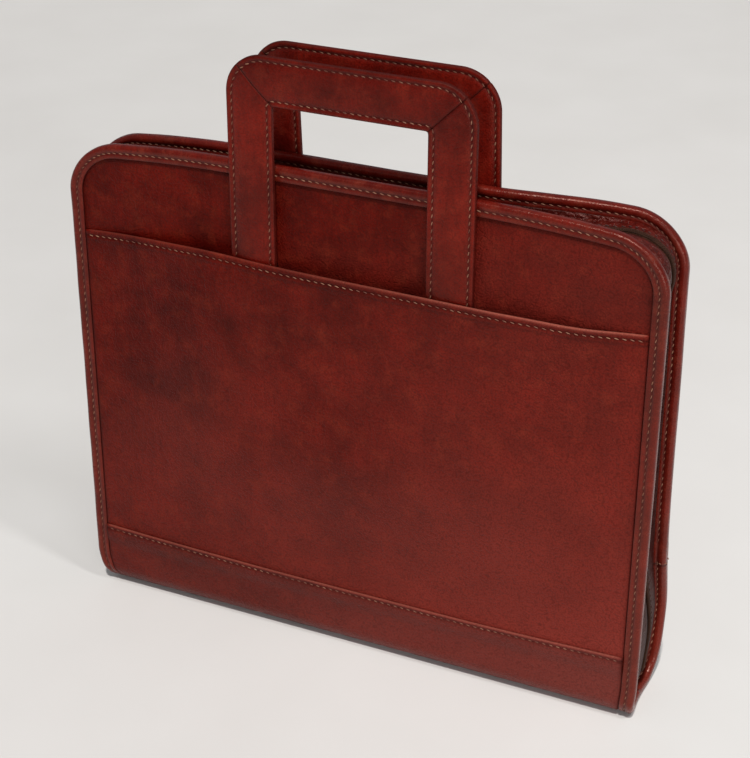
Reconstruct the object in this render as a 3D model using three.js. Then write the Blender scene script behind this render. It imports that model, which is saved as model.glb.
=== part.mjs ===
// A leather document case with two handles that slide down into its outer pockets.
// Millimetres, +Z up. The case stands on its base with its front towards -Y, and the origin
// lies on the ground under the middle of the base.
//
// The soft pieces are laid out on the unrolled outer face of the cover. A place there is
// (x, s, off): x along the case, s the way along the leather from the middle of the base
// (up the back cover where s is above zero, up the front cover where it is below), and off
// the distance out from the cover's outer face.
import * as THREE from 'three';

const clearance = 0.3;

const body = {
  width: 370,
  height: 315,
  baseWidth: 20,
  rollRadius: 14,
  lean: THREE.MathUtils.degToRad(2.23),
  cornerRadius: 33,
};
const wall = { cover: 3, panel: 1.2, binding: 1.2, gusset: 1.2, tape: 0.8 };
// The top edge sinks a little on its way to each corner.
const topDrop = { depth: 4, run: 77, reach: 120 };
// The back cover stands away from the front one at its right end, and its left end is drawn
// in at the top.
const gape = { depth: 16, start: 68, run: 107, drawnIn: 5 };
// The ends of the base are drawn in where the leather turns under.
const tuck = { left: 10, right: 3, reach: 60, rise: 12 };
const pocket = { height: 254, edgeRise: 5, lowEdge: 36, bulgeFrom: 52, bulgeMargin: 3 };
const strip = { height: 42, middleRise: 1, endRise: 4, ramp: 4.5 };
const binding = { width: 8.8 };
const gusset = { depth: 12, attach: 4.5, lowEnd: 18 };
const zip = { tape: 3.6, coilWidth: 4.4, coilHeight: 2 };
const slider = { height: 128, width: 7, length: 11, plate: 1.6, lug: 2.6, pull: 24 };
const handle = {
  width: 150,
  strap: 28.3,
  thickness: 4.5,
  corner: 23,
  innerCorner: 2,
  bevel: 0.6,
  rise: 65,
  inPocket: 45,
  slide: 65,
  stand: 2.2,
  frontPlace: 1.5,
  backPlace: 4,
};

// How far the back cover stands out, as shares of gape.depth, at shares of the height.
const gapeRows = [
  { height: 0, out: 0 },
  { height: 0.02, out: 0.2 },
  { height: 0.07, out: 0.55 },
  { height: 0.14, out: 0.9 },
  { height: 0.28, out: 0.58 },
  { height: 0.54, out: 0.6 },
  { height: 0.67, out: 0.76 },
  { height: 0.8, out: 0.8 },
  { height: 1, out: 1 },
];

// How far a pocket's upper edge lies above its height, as shares of pocket.edgeRise, at
// shares of the way from its left end to its right one.
const pocketEdgeRows = [
  { across: 0, rise: 0.35 },
  { across: 0.15, rise: 0.8 },
  { across: 0.25, rise: 0.95 },
  { across: 0.35, rise: 0.65 },
  { across: 0.5, rise: 0.45 },
  { across: 0.65, rise: 0.3 },
  { across: 0.8, rise: 0.2 },
  { across: 0.9, rise: 0 },
  { across: 1, rise: 0.65 },
];

// How deep the zip lies between the covers, as shares of gusset.depth, at shares of its way
// from the low end of the right side, over the top, to the low end of the left side.
const foldRows = [
  { way: 0, depth: 0.4 },
  { way: 0.035, depth: 0.3 },
  { way: 0.085, depth: 0.7 },
  { way: 0.14, depth: 1 },
  { way: 0.25, depth: 0.9 },
  { way: 0.285, depth: 0.4 },
  { way: 0.305, depth: 0.25 },
  { way: 0.325, depth: 0.5 },
  { way: 0.36, depth: 0.95 },
  { way: 0.5, depth: 1 },
  { way: 0.61, depth: 0.95 },
  { way: 0.69, depth: 0.6 },
  { way: 0.76, depth: 0.95 },
  { way: 0.92, depth: 0.9 },
  { way: 1, depth: 0.4 },
];

// How finely the curved stretches are divided.
const steps = { roll: 5, corner: 5, gape: 8, side: 4, middle: 2, top: 16, fold: 3, bulge: 5, upper: 2 };

const ground = clearance + wall.panel;
const edge = clearance + wall.binding;
const roll = body.rollRadius - ground;
const flatHalf = body.baseWidth / 2;
const rollEnd = flatHalf + roll * (Math.PI / 2 + body.lean);
const rollTop = ground + roll * (1 + Math.sin(body.lean));
const fullRun = rollEnd + (body.height - rollTop) / Math.cos(body.lean);
const panelHalf = body.width / 2 - binding.width - clearance;
const insideFace = -wall.cover - edge;
const cornerWay = fullRun - body.cornerRadius;

const smooth = (t) => THREE.MathUtils.smoothstep(t, 0, 1);
const wayTo = (height) => rollEnd + (height - rollTop) / Math.cos(body.lean);
const spread = (from, to, count) =>
  Array.from({ length: count + 1 }, (_, i) => from + ((to - from) * i) / count);
// Where the strip starts to lap over a pocket, and where a pocket starts and ends to swell
// out below the handle's lowest place.
const lapWay = wayTo(pocket.lowEdge) - clearance;
const bulgeStart = wayTo(pocket.bulgeFrom);
const bulgeFull = wayTo(pocket.height - handle.inPocket - handle.slide - pocket.bulgeMargin);

// Reads a table by its first column and eases from one row to the next.
function readRows(rows, key, value, at) {
  const last = rows.length - 1;
  const next = Math.min(Math.max(rows.findIndex((row) => row[key] >= at), 1), last);
  const low = rows[next - 1];
  const high = rows[at > rows[last][key] ? last : next];
  return THREE.MathUtils.lerp(low[value], high[value], smooth((at - low[key]) / (high[key] - low[key])));
}

// The cover's outer face in an end view: flat base, round turn, straight lean.
function endView(way) {
  if (way <= flatHalf) {
    return { out: way, up: ground };
  }
  if (way <= rollEnd) {
    const turn = (way - flatHalf) / roll;
    return { out: flatHalf + roll * Math.sin(turn), up: ground + roll * (1 - Math.cos(turn)) };
  }
  const along = way - rollEnd;
  return {
    out: flatHalf + roll * Math.cos(body.lean) - along * Math.sin(body.lean),
    up: rollTop + along * Math.cos(body.lean),
  };
}

function dropAt(x, way) {
  const start = body.width / 2 - body.cornerRadius - topDrop.run;
  const along = Math.max(0, (Math.abs(x) - start) / topDrop.run);
  const share = Math.max(0, 1 - (fullRun - way) / topDrop.reach);
  return topDrop.depth * along ** 2 * share ** 2;
}

function gapeAt(x, height) {
  const share = readRows(gapeRows, 'height', 'out', height / body.height);
  return gape.depth * smooth((x - gape.start) / gape.run) * share;
}

// How far a place is moved along x: the base's ends are drawn in, and the back cover's left.
function drawnIn(x, s) {
  const half = body.width / 2;
  const nearEnd = smooth((Math.abs(x) - half + tuck.reach) / tuck.reach);
  const nearBase = smooth(1 - Math.abs(s) / (rollEnd + tuck.rise));
  const inward = (x < 0 ? tuck.left : -tuck.right) * nearEnd * nearBase;
  return s < 0 ? inward : inward + gape.drawnIn * (s / fullRun) ** 2 * (0.5 - x / body.width);
}

function facePoint(x, s) {
  const way = Math.abs(s);
  const { out, up } = endView(way - dropAt(x, way));
  const y = s < 0 ? -out : out + gapeAt(x, up);
  return new THREE.Vector3(x + drawnIn(x, s), y, up);
}

function onCover(x, s, off) {
  const nudge = 0.01;
  const alongX = facePoint(x + nudge, s).sub(facePoint(x - nudge, s));
  const alongS = facePoint(x, s + nudge).sub(facePoint(x, s - nudge));
  const outward = alongS.cross(alongX).normalize();
  return facePoint(x, s).addScaledVector(outward, off);
}

// A closed wall between two grids of points, each grid a list of rows. Where the rows form a
// ring, the last row joins the first one and the wall has no end faces.
function wallBetween(outer, inner, ring = false) {
  const rows = outer.length;
  const across = outer[0].length;
  const positions = [...outer, ...inner].flat().flatMap((point) => point.toArray());
  const index = [];
  const at = (layer, row, column) => (layer * rows + (row % rows)) * across + column;
  const quad = (a, b, c, d) => index.push(a, b, c, a, c, d);
  for (let r = 0; r < (ring ? rows : rows - 1); r += 1) {
    for (let c = 0; c + 1 < across; c += 1) {
      quad(at(0, r, c), at(0, r, c + 1), at(0, r + 1, c + 1), at(0, r + 1, c));
      quad(at(1, r, c), at(1, r + 1, c), at(1, r + 1, c + 1), at(1, r, c + 1));
    }
    quad(at(0, r, 0), at(0, r + 1, 0), at(1, r + 1, 0), at(1, r, 0));
    const end = across - 1;
    quad(at(0, r, end), at(1, r, end), at(1, r + 1, end), at(0, r + 1, end));
  }
  for (let c = 0; !ring && c + 1 < across; c += 1) {
    const end = rows - 1;
    quad(at(0, 0, c), at(1, 0, c), at(1, 0, c + 1), at(0, 0, c + 1));
    quad(at(0, end, c), at(0, end, c + 1), at(1, end, c + 1), at(1, end, c));
  }
  return facingOut(positions, index);
}

function facingOut(positions, index) {
  const corner = (i) => new THREE.Vector3().fromArray(positions, index[i] * 3);
  let volume = 0;
  for (let i = 0; i < index.length; i += 3) {
    volume += corner(i).dot(corner(i + 1).cross(corner(i + 2)));
  }
  const geometry = new THREE.BufferGeometry();
  geometry.setAttribute('position', new THREE.Float32BufferAttribute(positions, 3));
  geometry.setIndex(volume < 0 ? index.reverse() : index);
  geometry.computeVertexNormals();
  return geometry;
}

// The edge of one cover, from the base up the right side, over the top and down the left
// side. Each station has its place on the unrolled face and the direction inwards from it.
function edgeStations() {
  const { cornerRadius: radius, width } = body;
  const half = width / 2;
  const corner = spread(0, Math.PI / 2, steps.corner).map((angle) => ({
    x: half - radius + radius * Math.cos(angle),
    s: cornerWay + radius * Math.sin(angle),
    inX: -Math.cos(angle),
    inS: -Math.sin(angle),
  }));
  const upright = panelWays(0, cornerWay).slice(0, -1).map((s) => ({ x: half, s, inX: -1, inS: 0 }));
  const right = [...upright, ...corner];
  const left = right.map((station) => ({ ...station, x: -station.x, inX: -station.inX })).reverse();
  const top = topColumns().map((x) => ({ x, s: fullRun, inX: 0, inS: -1 }));
  return [...right, ...top, ...left];
}

// Stations along the top edge between the corners, closer together where the cover gapes.
function topColumns() {
  const end = body.width / 2 - body.cornerRadius;
  const dense = spread(end, gape.start, steps.gape).slice(1);
  const rest = spread(gape.start, -end, steps.top - steps.gape).slice(1, -1);
  return [...dense, ...rest];
}

// Columns of vertices across a panel, closer together where the cover gapes.
function panelColumns() {
  const bulgeEnd = handle.width / 2 + pocket.bulgeMargin;
  return [
    ...spread(-panelHalf, -bulgeEnd, steps.side),
    ...spread(-bulgeEnd, gape.start, steps.middle).slice(1),
    ...spread(gape.start, panelHalf, steps.gape).slice(1),
  ];
}

// Rows of vertices up one cover between two places, with both places included. All pieces
// share them, so that they bend together where the cover bends.
function panelWays(from, to) {
  const rows = [
    0,
    ...spread(flatHalf, rollEnd, steps.roll),
    lapWay - strip.ramp,
    lapWay,
    wayTo(strip.height),
    ...spread(bulgeStart, bulgeFull, steps.bulge),
    ...spread(bulgeFull, wayTo(pocket.height), steps.upper).slice(1),
  ];
  return [from, ...rows.filter((way) => way > from + 1 && way < to - 1), to];
}

function coverWrap() {
  const radius = body.cornerRadius - edge;
  const straightHalf = body.width / 2 - edge;
  const sideRows = panelWays(0, cornerWay).map((s) => ({ s, half: straightHalf }));
  const cornerRows = spread(0, Math.PI / 2, steps.corner).map((angle) => ({
    s: cornerWay + radius * Math.sin(angle),
    half: straightHalf - radius * (1 - Math.cos(angle)),
  }));
  const back = [...sideRows, ...cornerRows.slice(1)];
  const front = back.slice(1).map(({ s, half }) => ({ s: -s, half }));
  const rows = [...front.reverse(), ...back];
  const columns = [-straightHalf, ...panelColumns(), straightHalf];
  const row = ({ s, half }, off) => columns.map((x) => onCover((x * half) / straightHalf, s, off));
  const layer = (off) => rows.map((each) => row(each, off));
  return wallBetween(layer(0), layer(-wall.cover));
}

// How far a pocket stands off its cover to clear the handle that slides behind it.
function bulgeAt(x, way, place) {
  const depth = handle.stand + handle.thickness;
  const plateau = handle.width / 2 + pocket.bulgeMargin;
  const away = (Math.abs(x - place) - plateau) / (panelHalf - plateau);
  return depth * (1 - smooth(away)) * smooth((way - bulgeStart) / (bulgeFull - bulgeStart));
}

function pocketPanel(side, handlePlace) {
  const low = lapWay + clearance;
  const top = wayTo(pocket.height);
  const place = (x, way, thickness) => {
    const rise = readRows(pocketEdgeRows, 'across', 'rise', 0.5 + x / panelHalf / 2);
    const risen = way + (pocket.edgeRise * rise * (way - low)) / (top - low);
    return onCover(x, side * risen, clearance + thickness + bulgeAt(x, way, handlePlace));
  };
  const layer = (thickness) =>
    panelWays(low, top).map((way) => panelColumns().map((x) => place(x, way, thickness)));
  return wallBetween(layer(wall.panel), layer(0));
}

// The strip round the base. Its two upper edges lap over the pockets' lower edges, and
// rise towards their ends.
function baseStrip() {
  const ways = panelWays(0, wayTo(strip.height));
  const back = ways.map((way) => ({ side: 1, way, rise: 0 }));
  back.push({ side: 1, way: ways.at(-1), rise: 1 });
  const front = back.slice(1).map((row) => ({ ...row, side: -1 }));
  const rows = [...front.reverse(), ...back];
  const place = (x, { side, way, rise }, thickness) => {
    const edgeRise = THREE.MathUtils.lerp(strip.middleRise, strip.endRise, (x / panelHalf) ** 2);
    const overPocket = THREE.MathUtils.clamp((way - lapWay + strip.ramp) / strip.ramp, 0, 1);
    return onCover(x, side * (way + rise * edgeRise), clearance + thickness + ground * overPocket);
  };
  const layer = (thickness) => rows.map((row) => panelColumns().map((x) => place(x, row, thickness)));
  return wallBetween(layer(wall.panel), layer(0));
}

// The binding folds round the whole edge of the cover. Its section is a U.
function edgeBinding() {
  const outside = [
    { inset: binding.width, off: edge },
    { inset: 0, off: edge },
    { inset: 0, off: insideFace },
    { inset: binding.width, off: insideFace },
  ];
  const inside = [
    { inset: binding.width, off: clearance },
    { inset: wall.binding, off: clearance },
    { inset: wall.binding, off: -wall.cover - clearance },
    { inset: binding.width, off: -wall.cover - clearance },
  ];
  const back = edgeStations();
  const front = back.slice(1, -1).map((station) => ({ ...station, s: -station.s, inS: -station.inS }));
  const loop = [...back, ...front.reverse()];
  const layer = (section) =>
    loop.map(({ x, s, inX, inS }) =>
      section.map(({ inset, off }) => onCover(x + inset * inX, s + inset * inS, off)),
    );
  return wallBetween(layer(outside), layer(inside), true);
}

// Stations of the zip: the cover's edge without its ends round the base.
function zipStations() {
  const low = wayTo(gusset.lowEnd);
  const half = body.width / 2;
  const right = { x: half, s: low, inX: -1, inS: 0 };
  const left = { x: -half, s: low, inX: 1, inS: 0 };
  const stations = [right, ...edgeStations().filter(({ s }) => s > low + 1), left];
  const length = [0];
  stations.slice(1).forEach((station, i) => {
    length.push(length[i] + Math.hypot(station.x - stations[i].x, station.s - stations[i].s));
  });
  return stations.map((station, i) => {
    const share = readRows(foldRows, 'way', 'depth', length[i] / length.at(-1));
    return { ...station, depth: gusset.depth * share };
  });
}

// A point between the covers: inset from the edge, and off its middle towards the back.
function between({ x, s, inX, inS }, inset, off) {
  const atX = x + inset * inX;
  const atS = s + inset * inS;
  const front = onCover(atX, -atS, insideFace);
  const back = onCover(atX, atS, insideFace);
  const gap = back.distanceTo(front);
  return front.lerp(back, 0.5 + off / gap);
}

// The middle line of a gusset's section: down along the binding, then in towards the zip.
function foldLine(station, side) {
  const front = onCover(station.x, -station.s, insideFace);
  const half = onCover(station.x, station.s, insideFace).distanceTo(front) / 2;
  const start = half - clearance - wall.gusset / 2;
  const end = zip.tape + clearance;
  return spread(0, Math.PI / 2, steps.fold).map((turn) => ({
    inset: gusset.attach + (station.depth - gusset.attach) * Math.sin(turn),
    off: side * (start + (end - start) * (1 - Math.cos(turn))),
  }));
}

function thickened(line, thickness) {
  return line.map(({ inset, off }, i) => {
    const before = line[Math.max(i - 1, 0)];
    const after = line[Math.min(i + 1, line.length - 1)];
    const length = Math.hypot(after.inset - before.inset, after.off - before.off);
    return {
      inset: inset - (thickness * (after.off - before.off)) / length,
      off: off + (thickness * (after.inset - before.inset)) / length,
    };
  });
}

function sideGusset(side) {
  const layer = (thickness) =>
    zipStations().map((station) =>
      thickened(foldLine(station, side), thickness).map(({ inset, off }) => between(station, inset, off)),
    );
  return wallBetween(layer(wall.gusset / 2), layer(-wall.gusset / 2));
}

function zipTape(side) {
  const layer = (deeper) =>
    zipStations().map((station) =>
      [clearance / 2, zip.tape].map((off) => between(station, station.depth + deeper, side * off)),
    );
  return wallBetween(layer(0), layer(wall.tape));
}

function zipCoil() {
  const half = zip.coilWidth / 2;
  const chamfer = zip.coilHeight / 3;
  const outside = [
    { off: -half, up: chamfer },
    { off: -half + chamfer, up: zip.coilHeight },
    { off: half - chamfer, up: zip.coilHeight },
    { off: half, up: chamfer },
  ];
  const inside = outside.map(({ off }) => ({ off: (off * (half - chamfer)) / half, up: 0 }));
  const layer = (section) =>
    zipStations().map((station) =>
      section.map(({ off, up }) => between(station, station.depth - clearance - up, off)),
    );
  return wallBetween(layer(outside), layer(inside));
}

// The slider waits at the low left end of the zip, its pull hanging from a lug.
function zipSlider() {
  const { length, plate, lug, pull, width } = slider;
  const outline = new THREE.Shape();
  outline.moveTo(-length / 2, 0);
  outline.lineTo(length / 2, 0);
  outline.lineTo(length / 2, plate);
  outline.lineTo(plate, plate);
  outline.lineTo(plate, lug + plate);
  outline.lineTo(-pull, lug + plate);
  outline.lineTo(-pull, lug);
  outline.lineTo(0, lug);
  outline.lineTo(0, plate);
  outline.lineTo(-length / 2, plate);
  outline.closePath();
  const geometry = new THREE.ExtrudeGeometry(outline, { depth: width, bevelEnabled: false });
  geometry.translate(0, 0, -width / 2);
  return geometry;
}

function placeSlider(mesh) {
  const way = wayTo(slider.height);
  const stations = zipStations();
  const nextLow = stations.findIndex(({ x, s }) => x < 0 && s < way);
  const high = stations[nextLow - 1];
  const low = stations[nextLow];
  const up = between(high, high.depth, 0).sub(between(low, low.depth, 0)).normalize();
  const share = (way - low.s) / (high.s - low.s);
  const depth = THREE.MathUtils.lerp(low.depth, high.depth, share) - 2 * clearance - zip.coilHeight;
  const station = { ...low, s: way };
  const origin = between(station, depth, 0);
  const across = between(station, depth, 1).sub(origin).normalize();
  const out = up.clone().cross(across).normalize();
  mesh.quaternion.setFromRotationMatrix(new THREE.Matrix4().makeBasis(up, out, across.negate()));
  mesh.position.copy(origin);
}

// One half of a handle leg's outline, cut at 45 degrees where it meets the grip.
function legShape() {
  const { width, strap, corner, innerCorner } = handle;
  const half = width / 2;
  const bottom = -handle.inPocket - (body.height - pocket.height) - handle.rise;
  const cut = clearance / Math.SQRT2;
  const shape = new THREE.Shape();
  shape.moveTo(half - strap, bottom);
  shape.lineTo(half, bottom);
  shape.lineTo(half, -corner);
  shape.absarc(half - corner, -corner, corner, 0, Math.PI / 4 - cut / corner, false);
  shape.lineTo(half - strap + innerCorner / 4, -strap - cut + innerCorner / 4);
  shape.lineTo(half - strap, -strap - innerCorner);
  shape.closePath();
  return shape;
}

function gripShape() {
  const { width, strap, corner, innerCorner } = handle;
  const half = width / 2;
  const cut = clearance / Math.SQRT2;
  const quarter = Math.PI / 4;
  const inner = half - strap;
  const shape = new THREE.Shape();
  shape.moveTo(-inner + innerCorner, -strap);
  shape.lineTo(inner - innerCorner, -strap);
  shape.lineTo(inner - cut + innerCorner / 4, -strap + innerCorner / 4);
  shape.absarc(half - corner, -corner, corner, quarter + cut / corner, Math.PI / 2, false);
  shape.lineTo(corner - half, 0);
  shape.absarc(corner - half, -corner, corner, Math.PI / 2, 3 * quarter - cut / corner, false);
  shape.lineTo(-inner + cut - innerCorner / 4, -strap + innerCorner / 4);
  shape.closePath();
  return shape;
}

function strapSolid(shape) {
  const { thickness, bevel } = handle;
  const geometry = new THREE.ExtrudeGeometry(shape, {
    depth: thickness - 2 * bevel,
    bevelThickness: bevel,
    bevelSize: bevel,
    bevelOffset: -bevel,
    bevelSegments: 1,
    curveSegments: steps.corner,
  });
  geometry.translate(0, 0, bevel);
  return geometry;
}

const look = (color, roughness, metalness = 0) =>
  new THREE.MeshStandardMaterial({ color, roughness, metalness });
const coverLeather = look('#6f1f17', 0.42);
const bindingLeather = look('#7a2a1c', 0.45);
const gussetLeather = look('#5d2024', 0.5);
const tapeCloth = look('#2e211d', 0.9);
const darkMetal = look('#4a4038', 0.35, 1);

function piece(name, geometry, material) {
  const mesh = new THREE.Mesh(geometry, material);
  mesh.name = name;
  return mesh;
}

// A handle stands in the plane of its cover. The back one is turned round to face backwards.
function handleGroup(name, side, place) {
  const group = new THREE.Group();
  const top = body.height + handle.rise;
  const up = new THREE.Vector3(0, -side * Math.sin(body.lean), Math.cos(body.lean));
  const out = new THREE.Vector3(0, side * Math.cos(body.lean), Math.sin(body.lean));
  const face = endView(fullRun + handle.rise / Math.cos(body.lean));
  group.quaternion.setFromRotationMatrix(
    new THREE.Matrix4().makeBasis(new THREE.Vector3().crossVectors(up, out), up, out),
  );
  group.position.set(place, side * face.out, top).addScaledVector(out, handle.stand);
  const mirrored = strapSolid(legShape()).scale(-1, 1, 1);
  mirrored.setIndex([...Array(mirrored.attributes.position.count).keys()].reverse());
  const legs = [mirrored, strapSolid(legShape())];
  const [leftLeg, rightLeg] = side < 0 ? legs : legs.reverse();
  group.add(piece(`${name}_grip`, strapSolid(gripShape()), coverLeather));
  group.add(piece(`${name}_leg_left`, leftLeg, coverLeather));
  group.add(piece(`${name}_leg_right`, rightLeg, coverLeather));
  return group;
}

const sliderMesh = piece('zip_slider', zipSlider(), darkMetal);
placeSlider(sliderMesh);

const documentCase = new THREE.Group();
documentCase.add(
  piece('cover_wrap', coverWrap(), coverLeather),
  piece('front_pocket', pocketPanel(-1, handle.frontPlace), coverLeather),
  piece('back_pocket', pocketPanel(1, handle.backPlace), coverLeather),
  piece('base_strip', baseStrip(), coverLeather),
  piece('edge_binding', edgeBinding(), bindingLeather),
  piece('front_gusset', sideGusset(-1), gussetLeather),
  piece('back_gusset', sideGusset(1), gussetLeather),
  piece('zip_tape_front', zipTape(-1), tapeCloth),
  piece('zip_tape_back', zipTape(1), tapeCloth),
  piece('zip_coil', zipCoil(), tapeCloth),
  sliderMesh,
  handleGroup('front_handle', -1, handle.frontPlace),
  handleGroup('back_handle', 1, handle.backPlace),
);

export default documentCase;
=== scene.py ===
import math

import bmesh
import bpy
import numpy as np
from mathutils import Matrix, Vector, noise


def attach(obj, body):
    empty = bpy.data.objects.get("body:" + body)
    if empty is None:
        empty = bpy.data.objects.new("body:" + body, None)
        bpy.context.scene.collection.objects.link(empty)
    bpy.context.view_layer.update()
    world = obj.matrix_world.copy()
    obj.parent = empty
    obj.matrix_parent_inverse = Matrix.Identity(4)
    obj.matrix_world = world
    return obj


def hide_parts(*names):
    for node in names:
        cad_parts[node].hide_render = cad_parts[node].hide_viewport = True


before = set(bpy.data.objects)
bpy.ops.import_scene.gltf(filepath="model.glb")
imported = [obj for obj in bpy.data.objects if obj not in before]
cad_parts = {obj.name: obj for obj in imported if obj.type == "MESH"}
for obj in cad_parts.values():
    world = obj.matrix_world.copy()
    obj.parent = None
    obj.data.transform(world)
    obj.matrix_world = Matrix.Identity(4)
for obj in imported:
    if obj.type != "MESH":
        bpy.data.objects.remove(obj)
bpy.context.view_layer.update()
print("frame loaded with", len(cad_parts), "nodes")
scene = bpy.context.scene
mm = 0.001

# The case's measures in millimetres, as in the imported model. Leather is laid out flat in
# (x, s, off): along the case, up the back where s is above zero or up the front where it is
# below, and out from the cover's outer face.
case = {
    "width": 370, "height": 315, "baseHalf": 10, "rollRadius": 14, "lean": math.radians(2.23),
    "corner": 33, "ground": 1.5, "gap": 0.3, "cover": 3, "bindingWidth": 8.8,
    "dropDepth": 4, "dropRun": 77, "dropReach": 120,
    "gapeDepth": 16, "gapeStart": 68, "gapeRun": 107, "drawnIn": 5,
    "tuckLeft": 10, "tuckRight": 3, "tuckReach": 60, "tuckRise": 12,
}
# how far the back cover stands off at its right end, by its height
gapeRows = [
    (0, 0), (.02, .2), (.07, .55), (.14, .9), (.28, .58), (.54, .6), (.67, .76), (.8, .8), (1, 1),
]
half = case["width"] / 2
lean = case["lean"]
rollInside = case["rollRadius"] - case["ground"]
rollEnd = case["baseHalf"] + rollInside * (math.pi / 2 + lean)
rollTop = case["ground"] + rollInside * (1 + math.sin(lean))
fullRun = rollEnd + (case["height"] - rollTop) / math.cos(lean)
cornerWay = fullRun - case["corner"]
panelHalf = half - case["bindingWidth"] - case["gap"]
insideFace = -case["cover"] - case["ground"]


def smooth(t):
    t = np.clip(t, 0.0, 1.0)
    return t * t * (3 - 2 * t)


# A soft ridge about zero, and a fade from zero onwards.
def ridge(distance, height, width):
    return height * np.exp(-(distance / width) ** 2)


def fade(distance, height, width):
    return height * np.exp(-np.maximum(distance, 0) / width)


def unit(vectors):
    return vectors / np.linalg.norm(vectors, axis=-1, keepdims=True)


def steps(low, high, step):
    return np.linspace(low, high, max(2, round(abs(high - low) / step) + 1))


def wayTo(height):
    return rollEnd + (height - rollTop) / math.cos(lean)


# A smooth curve through the rows of a table.
def readRows(rows, at):
    keys, values = np.array(rows, float).T
    slopes = np.gradient(values, keys)
    at = np.asarray(at, float)
    high = np.clip(np.searchsorted(keys, at), 1, len(keys) - 1)
    low = high - 1
    span = keys[high] - keys[low]
    t = np.clip((at - keys[low]) / span, 0, 1)
    rise = values[high] - values[low]
    bend = slopes[low] * span * t * (1 - t) ** 2 - slopes[high] * span * t * t * (1 - t)
    return values[low] + rise * t * t * (3 - 2 * t) + bend


def endView(way):
    turn = np.clip((way - case["baseHalf"]) / rollInside, 0, math.pi / 2 + lean)
    along = np.maximum(way - rollEnd, 0)
    out = np.minimum(way, case["baseHalf"]) + rollInside * np.sin(turn) - along * math.sin(lean)
    up = case["ground"] + rollInside * (1 - np.cos(turn)) + along * math.cos(lean)
    return out, up


def dropAt(x, way):
    start = half - case["corner"] - case["dropRun"]
    along = np.maximum(0, (np.abs(x) - start) / case["dropRun"])
    share = np.maximum(0, 1 - (fullRun - way) / case["dropReach"])
    return case["dropDepth"] * along ** 2 * share ** 2


# Slow waves in the stiffened leather, none of them near the edges or the base.
slack = {
    "rise": 0.5, "edge": 60, "foot": 25, "fade": 50, "topMargin": 5,
    "wide": 37, "tall": 43, "smallWide": 21, "smallTall": 29, "smallShare": 0.6, "turn": 1.3, "shift": 0.4,
}


def slackAt(x, up, side):
    inner = smooth((half - np.abs(x)) / slack["edge"]) * smooth((up - slack["foot"]) / slack["fade"])
    inner = inner * smooth((case["height"] + slack["topMargin"] - up) / slack["fade"])
    wave = np.sin(x / slack["wide"] + slack["turn"] * side) * np.sin(up / slack["tall"] + slack["shift"])
    small = np.sin(x / slack["smallWide"] - up / slack["smallTall"] + side)
    return slack["rise"] * inner * (wave + slack["smallShare"] * small)


def facePoint(x, s):
    side = np.where(s < 0, -1.0, 1.0)
    way = np.abs(s)
    out, up = endView(way - dropAt(x, way))
    gape = smooth((x - case["gapeStart"]) / case["gapeRun"]) * readRows(gapeRows, up / case["height"])
    out = out + slackAt(x, up, side)
    y = side * out + np.where(s < 0, 0, case["gapeDepth"] * gape)
    nearEnd = smooth((np.abs(x) - half + case["tuckReach"]) / case["tuckReach"])
    nearBase = smooth(1 - way / (rollEnd + case["tuckRise"]))
    inward = np.where(x < 0, case["tuckLeft"], -case["tuckRight"]) * nearEnd * nearBase
    drawn = np.where(s < 0, 0, case["drawnIn"] * (s / fullRun) ** 2 * (0.5 - x / case["width"]))
    return np.stack([x + inward + drawn, y, up], axis=-1)


def onCover(x, s, off):
    x, s, off = (np.asarray(value, float) for value in np.broadcast_arrays(x, s, off))
    nudge = 0.05
    alongX = facePoint(x + nudge, s) - facePoint(x - nudge, s)
    alongS = facePoint(x, s + nudge) - facePoint(x, s - nudge)
    return facePoint(x, s) + unit(np.cross(alongS, alongX)) * off[..., None]


# The edge of one cover, by its way from the base up the right side, over and down the left.
edgeTotal = 2 * (cornerWay + case["corner"] * math.pi / 2) + case["width"] - 2 * case["corner"]


def edgeAt(way):
    sign = np.where(way > edgeTotal / 2, -1.0, 1.0)
    near = np.minimum(way, edgeTotal - way)
    turn = np.clip((near - cornerWay) / case["corner"], 0, math.pi / 2)
    over = np.maximum(near - cornerWay - case["corner"] * math.pi / 2, 0)
    x = half - case["corner"] * (1 - np.cos(turn)) - over
    s = np.minimum(near, cornerWay) + case["corner"] * np.sin(turn)
    return sign * x, s, -sign * np.cos(turn), -np.sin(turn)


# Small helpers that cut, bend, finish and sew a piece.
def cutSheet(columns, rows, thickness):
    bm = bmesh.new()
    bmesh.ops.create_grid(bm, x_segments=len(columns) - 1, y_segments=len(rows) - 1, size=0.5)
    for vert in bm.verts:
        vert.co.x = columns[round((vert.co.x + 0.5) * (len(columns) - 1))]
        vert.co.y = rows[round((vert.co.y + 0.5) * (len(rows) - 1))]
    if thickness:
        bmesh.ops.solidify(bm, geom=bm.faces[:], thickness=thickness)
        for vert in bm.verts:
            vert.co.z = thickness if abs(vert.co.z) < thickness / 2 else 0
    return bm


# A grid whose second direction goes round a closed section, for a tube or a ring.
def cutTube(along, around):
    return cutSheet(along, np.arange(around + 1), 0)


# The point of a section that a row of the tube stands for.
def onSection(section, around):
    number = np.round(around).astype(int) % len(section)
    return number, section[number].T


def addMap(bm):
    layer = bm.loops.layers.uv.new("Leather")
    for face in bm.faces:
        for loop in face.loops:
            loop[layer].uv = loop.vert.co.xy * mm


def bend(bm, shape, paintedShadeAndHighlight=None):
    flat = np.array([vert.co for vert in bm.verts])
    bent = shape(*flat.T) * mm
    if paintedShadeAndHighlight is not None:
        layer = bm.verts.layers.float.new("paintedShadeAndHighlight")
        for vert, value in zip(bm.verts, paintedShadeAndHighlight(*flat.T)):
            vert[layer] = value
    for vert, point in zip(bm.verts, bent):
        vert.co = point


def turnOutwards(bm):
    bmesh.ops.recalc_face_normals(bm, faces=bm.faces[:])
    if bm.calc_volume(signed=True) < 0:
        bmesh.ops.reverse_faces(bm, faces=bm.faces[:])


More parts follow.
